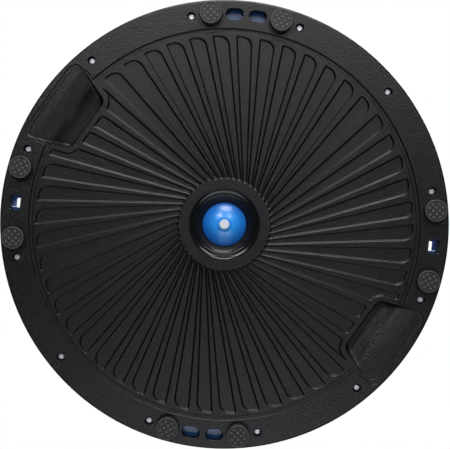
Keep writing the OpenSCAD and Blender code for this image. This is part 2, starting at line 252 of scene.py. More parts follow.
def inset(points, distance):
    """The outline moved inward by distance, or outward when it is negative."""
    sign = 1 if area(points) > 0 else -1
    out = []
    count = len(points)
    for i, p in enumerate(points):
        a = (p - points[i - 1]).normalized()
        b = (points[(i + 1) % count] - p).normalized()
        n = Vector((-a.y - b.y, a.x + b.x))
        n = n.normalized() * sign
        cos_half = max(MITRE_LIMIT, n.dot(Vector((-a.y, a.x)) * sign))
        out.append(p + n * distance / cos_half)
    return out


def dense(points, step):
    """The same outline with extra points, so that no two are further apart than step."""
    out = []
    for a, b in zip(points, points[1:] + points[:1]):
        n = max(1, math.ceil((b - a).length / step))
        out += [a.lerp(b, i / n) for i in range(n)]
    return out


def inside(p, convex):
    """Is p inside a counterclockwise convex outline?"""
    sides = zip(convex, convex[1:] + convex[:1])
    return all((b - a).x * (p - a).y - (b - a).y * (p - a).x > 0 for a, b in sides)


# ---------- meshes ----------

def new_object(name, mesh):
    obj = bpy.data.objects.new(name, mesh)
    bpy.context.scene.collection.objects.link(obj)
    return obj


def smooth(obj, angle=32):
    """Smooth shading with creases at sharp edges, and flat faces kept flat."""
    obj.data.shade_smooth()
    obj.data.set_sharp_from_angle(angle=math.radians(angle))
    weighted = obj.modifiers.new("weighted_normals", "WEIGHTED_NORMAL")
    weighted.keep_sharp = True
    weighted.weight = 80


def mesh_from(bm, name):
    """Turns bm into a mesh, and frees it."""
    mesh = bpy.data.meshes.new(name)
    bm.to_mesh(mesh)
    bm.free()
    return mesh


def add_loft(bm, loops):
    """A solid skinned over closed loops of 3-D points that all have the same number of points."""
    rings = [[bm.verts.new(p) for p in loop] for loop in loops]
    count = len(rings[0])
    for low, high in zip(rings, rings[1:]):
        for i in range(count):
            j = (i + 1) % count
            bm.faces.new((low[i], low[j], high[j], high[i]))
    bm.faces.new(rings[0][::-1])
    bm.faces.new(rings[-1])


def add_prism(bm, outline, levels):
    """A cutter or solid from levels of (z, inset of the outline)."""
    add_loft(bm, [[Vector((p.x, p.y, z)) for p in inset(outline, d)] for z, d in levels])


def revolve(name, profile, steps):
    """A closed section of (r, z) points turned about the Z axis. Points at r 0 become poles."""
    bm = bmesh.new()
    columns = []
    poles = {i: bm.verts.new((0, 0, z)) for i, (r, z) in enumerate(profile) if r < 1e-9}
    for s in range(steps):
        u = unit(360 * s / steps)
        columns.append([
            poles.get(i) or bm.verts.new((u.x * r, u.y * r, z)) for i, (r, z) in enumerate(profile)])
    count = len(profile)
    for s in range(steps):
        a, b = columns[s], columns[(s + 1) % steps]
        for i in range(count):
            j = (i + 1) % count
            corners = []
            for v in (a[i], b[i], b[j], a[j]):
                if v not in corners:
                    corners.append(v)
            if len(corners) > 2:
                bm.faces.new(corners)
    bmesh.ops.recalc_face_normals(bm, faces=bm.faces)
    return new_object(name, mesh_from(bm, name))


def combine(target, bm, operation, overlapping=False):
    """Adds the solids in bm to the target, or cuts them away, and keeps the result."""
    bmesh.ops.recalc_face_normals(bm, faces=bm.faces)
    tool = new_object("tool", mesh_from(bm, "tool"))
    modifier = target.modifiers.new("combine", "BOOLEAN")
    modifier.object = tool
    modifier.operation = operation
    modifier.solver = "EXACT"
    modifier.use_self = overlapping
    evaluated = target.evaluated_get(bpy.context.evaluated_depsgraph_get())
    mesh = bpy.data.meshes.new_from_object(evaluated)
    target.modifiers.clear()
    old = target.data
    target.data = mesh
    mesh.name = old.name
    bpy.data.meshes.remove(old)
    bpy.data.objects.remove(tool)


def fillet(r, z, radius, start, end, steps=4):
    """Section points of a round corner centred at (r, z)."""
    return [(p.x, p.y) for p in arc(Vector((r, z)), radius, start, end, steps)]


# ---------- platform ----------

def swirl_point(angle, r):
    """The point at radius r on a line that passes the centre at the distance SWIRL_R."""
    along = math.sqrt(r * r - SWIRL_R * SWIRL_R)
    return turned([Vector((along, SWIRL_R))], angle)[0]


def pocket_outline(turn):
    """Plan outline of one swirled pocket, turned by turn degrees."""
    first = turn + POCKET_PHASE - POCKET_ANGLE / 2
    last = turn + POCKET_PHASE + POCKET_ANGLE / 2
    corners = [
        swirl_point(first, POCKET_INNER_R), swirl_point(first, POCKET_OUTER_R),
        swirl_point(last, POCKET_OUTER_R), swirl_point(last, POCKET_INNER_R),
    ]
    small = POCKET_SMALL_CORNER
    return rounded(corners, [small, small, POCKET_BIG_CORNER, small])


def grip_outline(direction, extra=0, outer_r=None, outer_extra=None):
    """Plan outline of a hand grip, grown by extra, or by outer_extra at its outer end."""
    outer_r = GRIP_OUTER_R + extra if outer_r is None else outer_r
    outer_extra = extra if outer_extra is None else outer_extra
    spread = math.radians(GRIP_SPREAD)
    inner_r = GRIP_INNER_R - extra
    inner_half, outer_half = (
        GRIP_INNER_W / 2 + (r - GRIP_INNER_R) * math.tan(spread) + grown / math.cos(spread)
        for r, grown in ((inner_r, extra), (outer_r, outer_extra)))
    corners = [
        Vector((inner_r, -inner_half)), Vector((outer_r, -outer_half)),
        Vector((outer_r, outer_half)), Vector((inner_r, inner_half)),
    ]
    corner = GRIP_CORNER + extra
    return turned(rounded(corners, [corner] * 4, 10), direction)


def clipped(outline, cutter):
    """The part of the outline outside a convex cutter, with its corners softened, or None."""
    points = dense(outline, CLIP_STEP)
    hits = [inside(p, cutter) for p in points]
    if not any(hits):
        return outline
    if all(hits):
        return None
    count = len(points)
    start = next(i for i in range(count) if not hits[i] and hits[i - 1])
    order = [(start + i) % count for i in range(count)]
    kept = []
    for i in order:
        if hits[i]:
            break
        kept.append(points[i])
    edge = [p for p in dense(cutter, CLIP_STEP) if inside_any(p, points)]
    if not edge:
        return outline
    # the cutter's stretch inside the outline, ordered away from the end of kept
    nearest = min(edge, key=lambda p: (p - kept[-1]).length)
    rest = sorted(edge, key=lambda p: (p - nearest).length)
    kept = [p for p in kept if min((p - e).length for e in rest) > CLIP_GAP]
    rest = [p for p in rest if min((p - k).length for k in kept) > CLIP_GAP]
    return soften(kept + rest)


def inside_any(p, polygon):
    """Is p inside any simple polygon?"""
    odd = False
    for a, b in zip(polygon, polygon[1:] + polygon[:1]):
        if (a.y > p.y) != (b.y > p.y) and p.x < a.x + (p.y - a.y) * (b.x - a.x) / (b.y - a.y):
            odd = not odd
    return odd


def soften(points):
    """Rounds sharp turns by putting three points in place of each such corner."""
    out = []
    count = len(points)
    for i, p in enumerate(points):
        a, b = points[i - 1], points[(i + 1) % count]
        u, v = (a - p), (b - p)
        if u.normalized().dot(v.normalized()) > SHARP_TURN:
            reach = min(SOFT_REACH, u.length * 0.45, v.length * 0.45)
            s, e = p + u.normalized() * reach, p + v.normalized() * reach
            out += [s, (s + e) * 0.2 + p * 0.6, e]
        else:
            out.append(p)
    return out


def pocket_levels():
    """Height and inset of each loop of a pocket's wall: a bevelled mouth and a filleted floor."""
    floor = FIELD_Z + POCKET_DEPTH
    return [
        (FIELD_Z - 0.3 * MM, -1.3 * MM), (FIELD_Z + 0.02 * MM, -1.2 * MM),
        (FIELD_Z + 0.16 * MM, -0.95 * MM), (FIELD_Z + 0.4 * MM, -0.6 * MM),
        (FIELD_Z + 0.65 * MM, -0.25 * MM), (FIELD_Z + 0.9 * MM, 0), (floor - 0.8 * MM, 0.35 * MM),
        (floor - 0.4 * MM, 0.6 * MM), (floor - 0.12 * MM, 1.05 * MM), (floor, 1.5 * MM),
    ]


def add_pockets(bm):
    """All pockets as cutters, clipped round the grips."""
    cutters = [grip_outline(d, GRIP_BAND) for d in GRIP_DIRECTIONS]
    for i in range(POCKETS):
        outline = pocket_outline(i * 360 / POCKETS)
        for cutter in cutters:
            outline = outline and clipped(outline, cutter)
        if outline:
            add_prism(bm, outline, pocket_levels())


def grip_floor(x):
    """Height of a grip's floor along its direction: deepest at the inner end, then a ramp outward."""
    return RIM_Z + np.interp(x, np.array(GRIP_STATIONS) * MM, np.array(GRIP_HEIGHTS) * MM)


def smooth_min(a, b, k):
    """The smaller of a and b, blended where they are closer than k."""
    h = np.clip(0.5 + 0.5 * (b - a) / k, 0, 1)
    return b * (1 - h) + a * h - k * h * (1 - h)


def add_grip(bm, direction):
    """A grip's hollow: nested loops, whose height follows the floor and, near the wall, its draft."""
    outline = dense(grip_outline(0), GRIP_POINT_STEP)
    edge = np.array([(p.x, p.y) for p in outline])
    ends = np.roll(edge, -1, axis=0)
    centre = np.array([(GRIP_INNER_R + GRIP_OUTER_R) / 2, 0])
    loops = []
    slope = 1 / math.tan(math.radians(GRIP_DRAFT))
    for f in GRIP_LOOPS:
        ring = edge + (centre - edge) * f
        span = ends - edge
        rel = ring[:, None, :] - edge[None]
        along = np.clip((rel * span[None]).sum(2) / (span * span).sum(1)[None], 0, 1)
        gap = np.linalg.norm(rel - along[..., None] * span[None], axis=2).min(1)
        floor = grip_floor(ring[:, 0])
        wall = RIM_Z - 0.2 * MM + gap * slope
        z = smooth_min(floor, wall, GRIP_BLEND)
        loops.append([Vector((*turned([Vector(p)], direction)[0], h)) for p, h in zip(ring, z)])
    low = [Vector((p.x, p.y, RIM_Z - 3 * MM)) for p in loops[0]]
    add_loft(bm, [low] + loops)


def round_slot(length, width):
    """Outline of a slot along Y with round ends."""
    reach = (length - width) / 2
    ends = ((reach, 0), (-reach, 180))
    return [p for y, start in ends for p in arc(Vector((0, y)), width / 2, start, start + 180, 14)]


def rectangle(width, length, corner):
    """Outline of a rectangle, length along Y, with rounded corners."""
    x, y = width / 2, length / 2
    corners = [Vector((-x, -y)), Vector((x, -y)), Vector((x, y)), Vector((-x, y))]
    return rounded(corners, [corner] * 4, 4)


def circle(r, steps):
    return [r * unit(360 * i / steps) for i in range(steps)]


def at_station(outline, angle):
    """Moves an outline to the middle of the rim, at an angle."""
    return turned(moved(outline, Vector((STATION_R, 0))), angle)


def mouth(z, radius):
    """Levels that round off a hole's mouth in a face at height z."""
    return [
        (z - 0.25 * radius, -1.35 * radius), (z + 0.06 * radius, -0.66 * radius),
        (z + 0.3 * radius, -0.3 * radius), (z + radius, 0),
    ]


def screw_angles():
    return [(i + 0.5) * 360 / SCREWS for i in range(SCREWS)]


def foot_angles():
    return [quarter + side * FEET_ANGLE for quarter in (0, 90, 180, 270) for side in (-1, 1)]


def platform_profile():
    """Section of the platform's floor, rim and drum wall, with its edges rounded."""
    lip, half, edge = RIM_LIP_R, SMALL_EDGE_R, WELL_EDGE_R
    groove_in = RIM_INNER_R - GROOVE_W
    section = [(WELL_HOLE_R, DECK_Z), (WELL_HOLE_R, WELL_HOLE_Z + edge)]
    section += fillet(WELL_HOLE_R + edge, WELL_HOLE_Z + half, edge, 180, 250)
    step_r, step_z = WELL_STEP_R + edge, WELL_BOWL_Z + 0.1 * MM
    section += [(step_r + r * MM, step_z + h * MM) for r, h in WELL_STEP]
    section += [(r * MM, FIELD_Z + h * MM) for r, h in WELL_BOWL]
    section += [(WELL_MOUTH_R + 0.9 * MM, FIELD_Z + 0.06 * MM), (WELL_MOUTH_R + 1.6 * MM, FIELD_Z)]
    section += fillet(groove_in - half, FIELD_Z + half, half, 270, 360)
    section += fillet(groove_in + half, GROOVE_Z - half, half, 180, 90, 3)
    section += fillet(RIM_INNER_R - half, GROOVE_Z - half, half, 90, 0, 3)
    section += fillet(RIM_INNER_R + lip, RIM_Z + lip, lip, 180, 270, 5)
    section += fillet(PLATFORM_R - RIM_EDGE_R, RIM_Z + RIM_EDGE_R, RIM_EDGE_R, 270, 360, 8)
    section += fillet(PLATFORM_R - half, PARTING_Z - half, half, 0, 90, 3)
    section += [(DRUM_R, PARTING_Z), (DRUM_R, DECK_Z), (DRUM_R - DRUM_T, DECK_Z)]
    section += [(DRUM_R - DRUM_T, BOARD_Z), (WELL_TUBE_R, BOARD_Z), (WELL_TUBE_R, DECK_Z)]
    return section


def add_webs(bm):
    """Radial webs on the inner side, which carry the air dome."""
    inner, outer = WELL_TUBE_R - OVERLAP, DRUM_R - OVERLAP
    corners = [
        Vector((inner, -WEB_T / 2)), Vector((outer, -WEB_T / 2)),
        Vector((outer, WEB_T / 2)), Vector((inner, WEB_T / 2)),
    ]
    for i in range(WEB_COUNT):
        web = turned(corners, (i + 0.5) * 360 / WEB_COUNT)
        add_loft(bm, [[Vector((p.x, p.y, z)) for p in web] for z in (BOARD_Z - OVERLAP, WEB_TOP_Z)])


def add_grip_cups(bm):
    """The walls of the grips on the inner side."""
    for d in GRIP_DIRECTIONS:
        cup = grip_outline(d, WEB_T, DRUM_R - OVERLAP)
        add_prism(bm, cup, [(BOARD_Z - 1.2 * MM, 0), (WEB_TOP_Z, 0)])


def add_grip_collars(bm):
    """The raised bands round the grips, where they cross the groove."""
    for d in GRIP_DIRECTIONS:
        add_prism(bm, grip_outline(d, GRIP_BAND, RIM_INNER_R + OVERLAP), [
            (FIELD_Z + STEP, 0.6 * MM), (FIELD_Z + 0.3 * MM, 0.1 * MM), (FIELD_Z + 0.8 * MM, 0),
            (BOARD_Z - 0.5 * MM, 0)])


def add_grip_notches(bm):
    """Lowers the rim round the grips to the height of the bands."""
    for d in GRIP_DIRECTIONS:
        add_prism(bm, grip_outline(d, GRIP_BAND, GRIP_OUTER_R - 5 * MM, 1 * MM), [
            (RIM_Z - 0.3 * MM, -0.9 * MM), (RIM_Z + 0.05 * MM, -0.4 * MM), (RIM_Z + 0.5 * MM, -0.05 * MM),
            (FIELD_Z - 0.5 * MM, 0.05 * MM), (FIELD_Z - 0.01 * MM, 0.5 * MM)])


def add_rim_holes(bm, above):
    """Screw seats, foot sockets, band slots and clip slots. Through holes run up to above."""
    hole = SCREW_SEAT_R - SCREW_HOLE_R
    seat_z = RIM_Z + SCREW_SEAT_DEPTH
    for a in screw_angles():
        add_prism(bm, at_station(circle(SCREW_SEAT_R, 32), a), mouth(RIM_Z, 0.5 * MM) + [
            (seat_z - 0.3 * MM, 0.02 * MM), (seat_z, 0.3 * MM), (seat_z + STEP, hole), (above, hole)])
    socket_r = FOOT_R + FOOT_GAP
    stem = socket_r - FOOT_STEM_R
    floor = RIM_Z + FOOT_SOCKET_DEPTH
    for a in foot_angles():
        add_prism(bm, at_station(circle(socket_r, 64), a), mouth(RIM_Z, 0.4 * MM) + [
            (floor, 0), (floor + STEP, stem), (PARTING_Z - 2 * MM, stem)])
    for side in (90, 270):
        for s in (-1, 1):
            slot = at_station(round_slot(BAND_SLOT_L, BAND_SLOT_W), side + s * BAND_SLOT_ANGLE)
            add_prism(bm, slot, mouth(RIM_Z, 0.9 * MM) + [
                (RIM_Z + BAND_BAR_T, 0.1 * MM), (above, 0.1 * MM)])
    for side in (0, 180):
        slot = at_station(rectangle(CLIP_SLOT_W, CLIP_SLOT_L, SLOT_CORNER), side)
        add_prism(bm, slot, mouth(RIM_Z, 0.6 * MM) + [(above, 0)])


def add_band_channels(bm, above):
    """The hollows that join each pair of band slots above the bar between them."""
    half = STATION_R * math.sin(math.radians(BAND_SLOT_ANGLE)) + (BAND_SLOT_L - BAND_SLOT_W) / 2
    for side in (90, 270):
        channel = at_station(rectangle(BAND_SLOT_W, 2 * half, SLOT_CORNER), side)
        add_prism(bm, channel, [(RIM_Z + BAND_BAR_T, 0.2 * MM), (above, 0.2 * MM)])


def make_platform():
    body = revolve("platform_shell", platform_profile(), PLATFORM_STEPS)
    above = PARTING_Z + 2 * MM
    inner_side = bmesh.new()
    add_webs(inner_side)
    add_grip_cups(inner_side)
    combine(body, inner_side, "UNION", overlapping=True)
    collars = bmesh.new()
    add_grip_collars(collars)
    combine(body, collars, "UNION")
    notches = bmesh.new()
    add_grip_notches(notches)
    combine(body, notches, "DIFFERENCE")
    grips = bmesh.new()
    for d in GRIP_DIRECTIONS:
        add_grip(grips, d)
    combine(body, grips, "DIFFERENCE")
    cuts = bmesh.new()
    add_pockets(cuts)
    add_rim_holes(cuts, above)
    combine(body, cuts, "DIFFERENCE")
    channels = bmesh.new()
    add_band_channels(channels, above)
    combine(body, channels, "DIFFERENCE")
    smooth(body)
    return body


# ---------- clamp ring ----------

def ring_profile():
    """Section of the hollow ring, open below, with its edges rounded."""
    edge, seam = RING_INNER_EDGE_R, SMALL_EDGE_R
    outer_r, outer_z = PLATFORM_R - RING_EDGE_R, RING_TOP_Z - RING_EDGE_R
    section = [(RING_INNER_R, PARTING_Z + FLANGE_T)]
    section += fillet(RING_INNER_R + edge, RING_TOP_Z - edge, edge, 180, 90, 8)
    section += fillet(outer_r, outer_z, RING_EDGE_R, 90, 0, 14)
    section += fillet(PLATFORM_R - seam, PARTING_Z + seam, seam, 0, -90, 3)
    section += [(PLATFORM_R - RING_WALL, PARTING_Z)]
    section += fillet(outer_r, outer_z, RING_EDGE_R - RING_WALL, 0, 90, 8)
    section += [(RING_INNER_R + RING_WALL, z) for z in (RING_TOP_Z - RING_WALL, PARTING_Z + FLANGE_T)]
    return section


def make_ring():
    ring = revolve("clamp_ring_shell", ring_profile(), PLATFORM_STEPS)
    sleeves, cuts = bmesh.new(), bmesh.new()
    sleeve_levels = [(PARTING_Z + FLANGE_T, 0), (RING_TOP_Z - RING_SLEEVE_DROP, 0)]
    below = PARTING_Z - OVERLAP
    sleeve = 2 * RING_WALL
    for side in (0, 180):
        outline = rectangle(CLIP_SLOT_W + sleeve, CLIP_RING_L + sleeve, SLOT_CORNER)
        add_prism(sleeves, at_station(outline, side), sleeve_levels)
        outline = rectangle(CLIP_SLOT_W, CLIP_RING_L, CLIP_RING_CORNER)
        add_prism(cuts, at_station(outline, side), [
            (below, 0), (RING_TOP_Z - 1 * MM, 0), (RING_TOP_Z - 0.3 * MM, -0.3 * MM),
            (RING_TOP_Z - 0.05 * MM, -0.65 * MM), (RING_TOP_Z + 0.3 * MM, -1.2 * MM)])
    for a in screw_angles():
        add_prism(sleeves, at_station(circle(BOSS_R, 32), a), sleeve_levels)
        add_prism(cuts, at_station(circle(PILOT_R, 24), a), [(below, 0), (RING_TOP_Z - 3 * MM, 0)])
    combine(ring, sleeves, "UNION")
    combine(ring, cuts, "DIFFERENCE")
    smooth(ring)
    return ring


# ---------- air dome ----------

def crown_height(r):
    """Height of the dome's outside at radius r, with its raised rings."""
    z = RING_TOP_Z + DOME_RISE * math.sqrt(max(0, 1 - (r / DOME_R) ** 2))
    nearest = round(r / CROWN_PITCH)
    if 1 <= nearest <= CROWN_RINGS:
        off = abs(r - nearest * CROWN_PITCH)
        z += CROWN_RING_H * max(0, math.cos(min(1, off / CROWN_RING_HALF_W) * math.pi / 2)) ** 1.5
    return z


def bulge_height(r, t=0):
    """Height of the bulge's underside at radius r, or of a surface t inside it."""
    ball = (BULGE_R ** 2 + BULGE_DROP ** 2) / (2 * BULGE_DROP)
    return WELL_HOLE_Z - BULGE_DROP + ball - math.sqrt((ball - t) ** 2 - r * r)


def dome_profile():
    """Closed section of the hollow dome: outside, flange, membrane and bulge, then the air space."""
    inner_r, neck_r = DOME_R - DOME_WALL, BULGE_R - DOME_WALL
    flange_top, corner = PARTING_Z + FLANGE_T, DOME_CORNER_R
    drum_r = DRUM_R + 0.3 * MM
    radii = [DOME_R * math.sin(math.radians(90 * i / 60)) for i in range(61)]
    for i in range(1, CROWN_RINGS + 1):
        radii += [i * CROWN_PITCH + k * 0.55 * MM for k in range(-4, 5)]
    section = [(r, crown_height(min(r, DOME_R))) for r in sorted(set(round(r, 6) for r in radii))]
    section += [(DOME_R, RING_TOP_Z - 1 * MM), (DOME_R, flange_top + 1 * MM)]
    section += fillet(DOME_R + 1 * MM, flange_top + 1 * MM, 1 * MM, 180, 270)
    section += [(FLANGE_R, flange_top), (FLANGE_R, PARTING_Z), (drum_r, PARTING_Z)]
    section += [(drum_r, MEMBRANE_Z), (BULGE_R + 2 * MM, MEMBRANE_Z)]
    section += fillet(BULGE_R + BULGE_EDGE_R, MEMBRANE_Z - BULGE_EDGE_R, BULGE_EDGE_R, 90, 180)
    section.append((BULGE_R, bulge_height(BULGE_R)))
    for i in range(1, BULGE_STEPS + 1):
        r = BULGE_R * math.sin(math.radians(90 - 90 * i / BULGE_STEPS))
        if r > SEAT_R:
            section.append((r, bulge_height(r)))
    section += [(SEAT_R, bulge_height(SEAT_R)), (SEAT_R, bulge_height(SEAT_R, DOME_WALL))]
    for i in range(1, 9):
        r = SEAT_R + (neck_r - SEAT_R) * i / 8
        section.append((r, bulge_height(r, DOME_WALL)))
    section += [(neck_r, MEMBRANE_Z + 1 * MM), (36 * MM, MEMBRANE_Z + DOME_WALL)]
    section += fillet(inner_r - corner, MEMBRANE_Z + DOME_WALL + corner, corner, 270, 360, 5)
    for i in range(40, -1, -1):
        a = math.radians(90 * i / 40)
        section.append((inner_r * math.sin(a), RING_TOP_Z + (DOME_RISE - DOME_WALL) * math.cos(a)))
    return section


def make_dome():
    dome = revolve("air_dome_shell", dome_profile(), DOME_STEPS)
    cuts = bmesh.new()
    through = [(PARTING_Z - OVERLAP, 0), (PARTING_Z + FLANGE_T + 0.6 * MM, 0)]
    for side in (0, 180):
        outline = rectangle(CLIP_SLOT_W, CLIP_RING_L, CLIP_RING_CORNER)
        add_prism(cuts, at_station(outline, side), through)
    for a in screw_angles():
        add_prism(cuts, at_station(circle(FLANGE_HOLE_R, 24), a), through)
    combine(dome, cuts, "DIFFERENCE")
    smooth(dome, 40)
    return dome


# ---------- materials ----------

NOISE_LOW, NOISE_HIGH = 0.3, 0.7
GRAIN_FROM_R, GRAIN_TO_R = 44.6 * MM, 46.4 * MM  # the sandy grain starts at the lip of the well
SHINY_FROM_R, SHINY_TO_R = 33.5 * MM, 36.0 * MM  # the bowl outside the well's step is polished
# the painted shadow line round the valve plug's rim fades in between these radii
PLUG_FACE_R, PLUG_RIM_R = 5.7 * MM, 6.4 * MM


class Nodes:
    """A short way to build a node tree."""

    def __init__(self, name):
        self.material = bpy.data.materials.new(name)
        self.material.use_nodes = True
        self.tree = self.material.node_tree
        self.tree.nodes.clear()
        self.out = self.tree.nodes.new("ShaderNodeOutputMaterial")

    def add(self, kind, inputs=None, **settings):
        node = self.tree.nodes.new("ShaderNode" + kind)
        for key, value in settings.items():
            setattr(node, key, value)
        for key, value in (inputs or {}).items():
            if isinstance(value, bpy.types.NodeSocket):
                self.tree.links.new(value, node.inputs[key])
            else:
                node.inputs[key].default_value = value
        return node

    def surface(self, shader):
        self.tree.links.new(shader, self.out.inputs["Surface"])
        return self.material

    def position(self):
        return self.add("TexCoord").outputs["Object"]

    def noise(self, scale, detail=2.0, roughness=0.5):
        return self.add("TexNoise", {
            "Vector": self.position(), "Scale": scale, "Detail": detail, "Roughness": roughness,
        }).outputs["Fac"]

    def span(self, value, a, b, c, d, smooth=False):
        """Maps value from a..b to c..d."""
        node = self.add("MapRange", {"Value": value, "From Min": a, "From Max": b, "To Min": c, "To Max": d})
        node.interpolation_type = "SMOOTHSTEP" if smooth else "LINEAR"
        return node.outputs["Result"]

    def spread(self, noise, low=0, high=1):
        """Maps the usual reach of a noise to low..high."""
        return self.span(noise, NOISE_LOW, NOISE_HIGH, low, high)

    def mix(self, factor, a, b):
        node = self.add("Mix", {"Factor": factor}, data_type="RGBA")
        for socket, value in ((node.inputs[6], a), (node.inputs[7], b)):
            if isinstance(value, bpy.types.NodeSocket):
                self.tree.links.new(value, socket)
            else:
                socket.default_value = value
        return node.outputs[2]

    def math(self, operation, a, b=0.0):
        node = self.add("Math", {0: a, 1: b}, operation=operation)
        return node.outputs[0]

    def radius(self):
        """Distance from the object's axis, and height."""
        x, y, z = self.add("SeparateXYZ", {"Vector": self.position()}).outputs
        squares = self.math("ADD", self.math("MULTIPLY", x, x), self.math("MULTIPLY", y, y))
        return self.math("SQRT", squares), z


def grey(v, tint=(1, 1, 1)):
    return (v * tint[0], v * tint[1], v * tint[2], 1)


def black_plastic():
    """Moulded plastic with a fine sandy grain, and a polished bowl in the middle."""
    n = Nodes("black_plastic")
    r = n.radius()[0]
    grain = n.span(r, GRAIN_FROM_R, GRAIN_TO_R, 0, 1)
    gloss = n.span(r, SHINY_FROM_R, SHINY_TO_R, 0, 1)
    cells = n.add("TexVoronoi", {"Vector": n.position(), "Scale": 800}, feature="SMOOTH_F1")
    pits = cells.outputs["Distance"]
    sand = n.noise(330, 3, 0.75)
    height = n.math("ADD", pits, n.math("MULTIPLY", sand, 1.4))
    bump = n.add("Bump", {"Strength": n.math("MULTIPLY", grain, 0.4), "Distance": 0.0008, "Height": height})
    cloud = n.noise(9, 4, 0.6)
    colour = n.mix(n.spread(cloud), grey(0.0015), grey(0.003))
    colour = n.mix(n.span(sand, 0.5, 0.66, 0, 1), colour, grey(0.008))
    rough_grain = n.math("ADD", n.spread(cloud, 0.26, 0.32), n.math("MULTIPLY", sand, 0.06))
    rough_bowl = n.math("ADD", n.spread(n.noise(60, 3), 0.14, 0.2), n.span(gloss, 0, 1, 0.28, 0))
    rough = n.math("ADD", n.math("MULTIPLY", rough_grain, grain),
                   n.math("MULTIPLY", rough_bowl, n.math("SUBTRACT", 1.0, grain)))
    shader = n.add("BsdfPrincipled", {
        "Base Color": colour, "Roughness": rough, "Normal": bump.outputs["Normal"], "IOR": 1.5,
        "Specular IOR Level": 0.3})
    return n.surface(shader.outputs[0])


def blue_pvc():
    """Soft, glossy PVC. The bulge is paler towards its middle: partly its stretched, thinner skin, partly a
    painted pool of light with painted shade towards its edge. The flange under the clamp ring is painted
    darker as painted shade.
    """
    n = Nodes("blue_pvc")
    cloud = n.noise(14, 4, 0.55)
    r, z = n.radius()
    below_deck = n.span(z, DECK_Z, DECK_Z + 2 * MM, 1, 0)
    # partly real and partly painted light: the bulge is paler towards its middle, where the skin is
    # stretched thinner, with painted shade towards its edge under the well's walls
    lit_thinner_middle = n.span(r, 0.35 * BULGE_R, BULGE_R, 1, 0, smooth=True)
    deep = n.mix(n.spread(cloud), (0.006, 0.100, 0.390, 1), (0.010, 0.130, 0.460, 1))
    thinner_lit_blue = n.mix(n.spread(cloud), (0.014, 0.200, 0.560, 1), (0.020, 0.235, 0.620, 1))
    colour = n.mix(n.math("MULTIPLY", lit_thinner_middle, below_deck), deep, thinner_lit_blue)
    # painted shade: the flange under the clamp ring, seen only through the slots, is painted a darker blue
    flange = n.span(r, DOME_R + 0.5 * MM, DOME_R + 3 * MM, 0, 1)
    colour = n.mix(flange, colour, (0.003, 0.070, 0.240, 1))
    bump = n.add("Bump", {"Strength": 0.06, "Distance": 0.0006, "Height": n.noise(60, 2, 0.4)})
    rough = n.spread(n.noise(40, 3), 0.26, 0.36)
    shader = n.add("BsdfPrincipled", {
        "Base Color": colour, "Roughness": rough, "Normal": bump.outputs["Normal"], "IOR": 1.5,
        "Coat Weight": 0.15, "Coat Roughness": 0.1})
    return n.surface(shader.outputs[0])


def blue_plastic():
    """Satin moulded plastic of the clamp ring."""
    n = Nodes("blue_plastic")
    cloud = n.noise(20, 4, 0.6)
    colour = n.mix(n.spread(cloud), (0.012, 0.110, 0.430, 1), (0.015, 0.135, 0.500, 1))
    bump = n.add("Bump", {"Strength": 0.3, "Distance": 0.0002, "Height": n.noise(900, 2, 0.5)})
    rough = n.spread(n.noise(300, 3), 0.34, 0.44)
    shader = n.add("BsdfPrincipled", {
        "Base Color": colour, "Roughness": rough, "Normal": bump.outputs["Normal"], "IOR": 1.5})
    return n.surface(shader.outputs[0])


def foot_rubber():
    """Matt rubber, paler in patches at its lowest points."""
    n = Nodes("foot_rubber")
    z = n.radius()[1]
    # paler in patches at the foot's lowest points
    low_pale_patches = n.math("MULTIPLY", n.span(z, 0.1 * MM, 0.5 * MM, 1, 0), n.span(n.noise(350, 2), 0.3, 0.5, 0.5, 1))
    base = n.mix(n.spread(n.noise(200, 4)), grey(0.003), grey(0.008))
    colour = n.mix(low_pale_patches, base, grey(0.06))
    bump = n.add("Bump", {"Strength": 0.4, "Distance": 0.0002, "Height": n.noise(1400, 3, 0.6)})
    rough = n.spread(n.noise(500, 3), 0.55, 0.72)
    shader = n.add("BsdfPrincipled", {
        "Base Color": colour, "Roughness": rough, "Normal": bump.outputs["Normal"], "IOR": 1.48})
    return n.surface(shader.outputs[0])


def zinc():
    """Plated steel with a faint cloudy finish."""
    n = Nodes("zinc")
    cloud = n.noise(700, 4, 0.6)
    cool = (0.97, 0.98, 1.05)
    colour = n.mix(n.spread(cloud), grey(0.60, cool), grey(0.80, cool))
    bump = n.add("Bump", {"Strength": 0.2, "Distance": 0.0001, "Height": n.noise(2500, 2)})
    rough = n.spread(cloud, 0.36, 0.5)
    shader = n.add("BsdfPrincipled", {
        "Base Color": colour, "Metallic": 0.6, "Roughness": rough, "Normal": bump.outputs["Normal"]})
    return n.surface(shader.outputs[0])


def white_plastic():
    """Moulded white plastic, with a painted shadow line in dark blue-grey round its outer rim."""
    n = Nodes("white_plastic")
    cloud = n.noise(260, 3, 0.6)
    colour = n.mix(n.spread(cloud), (0.50, 0.49, 0.50, 1), (0.58, 0.57, 0.58, 1))
    # painted shadow line round the plug's outer rim, between PLUG_FACE_R and PLUG_RIM_R
    colour = n.mix(n.span(n.radius()[0], PLUG_FACE_R, PLUG_RIM_R, 0, 1), colour, (0.20, 0.27, 0.36, 1))
    bump = n.add("Bump", {"Strength": 0.2, "Distance": 0.0001, "Height": n.noise(1500, 2)})
    rough = n.spread(cloud, 0.32, 0.42)
    shader = n.add("BsdfPrincipled", {
        "Base Color": colour, "Roughness": rough, "Normal": bump.outputs["Normal"], "IOR": 1.48,
        "Subsurface Weight": 0.2, "Subsurface Radius": (0.004, 0.003, 0.002), "Subsurface Scale": 1.0})
    return n.surface(shader.outputs[0])


